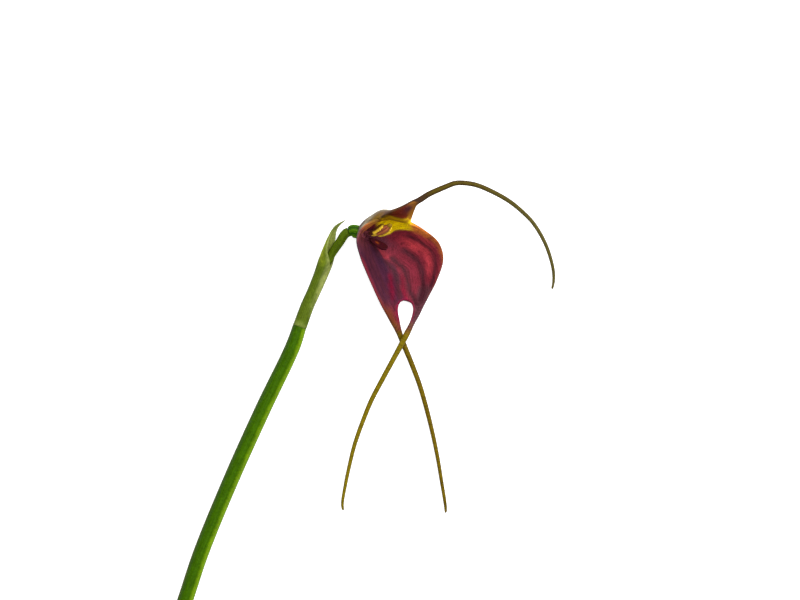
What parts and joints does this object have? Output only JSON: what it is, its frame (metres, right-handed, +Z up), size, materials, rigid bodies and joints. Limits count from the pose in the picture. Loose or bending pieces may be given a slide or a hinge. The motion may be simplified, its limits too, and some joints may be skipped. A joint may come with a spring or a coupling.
{
  "type": "masdevallia orchid flower",
  "caption": "Picked masdevallia orchid flower lying on its side: a cup-shaped calyx with long slender tails on a cut three-sided stem.",
  "frame": {"origin": "middle of the bounding box, on the surface that the flower lies on", "axes": "+Z up from the surface, +Y from the cut end of the stem up towards the flower's dorsal side, +X to the side that the flower faces"},
  "size_m": [0.071, 0.0938, 0.011],
  "materials": {
    "stem_skin": "smooth waxy green skin, darker on one side",
    "bract_skin": "thin papery olive green with fine ribs",
    "pedicel_skin": "smooth waxy green skin",
    "ovary_skin": "ribbed glossy green skin",
    "sepal_crimson": "soft satin crimson with dark maroon veins, finely papillose",
    "sepal_gold": "soft satin, yellow inside the tube and maroon brown on the blade",
    "petal_yellow": "thin satin yellow",
    "lip_maroon": "dark maroon, warty",
    "column_pink": "brownish pink satin",
    "cap_cream": "cream satin"
  },
  "bodies": {
    "root": {"peduncle": "stem_skin", "floral_bract": "bract_skin", "pedicel": "pedicel_skin", "ovary": "ovary_skin", "synsepal": "sepal_crimson", "dorsal_sepal": "sepal_gold", "petal_left": "petal_yellow", "petal_right": "petal_yellow", "lip": "lip_maroon", "column": "column_pink", "anther_cap": "cap_cream"}
  },
  "joints": []
}
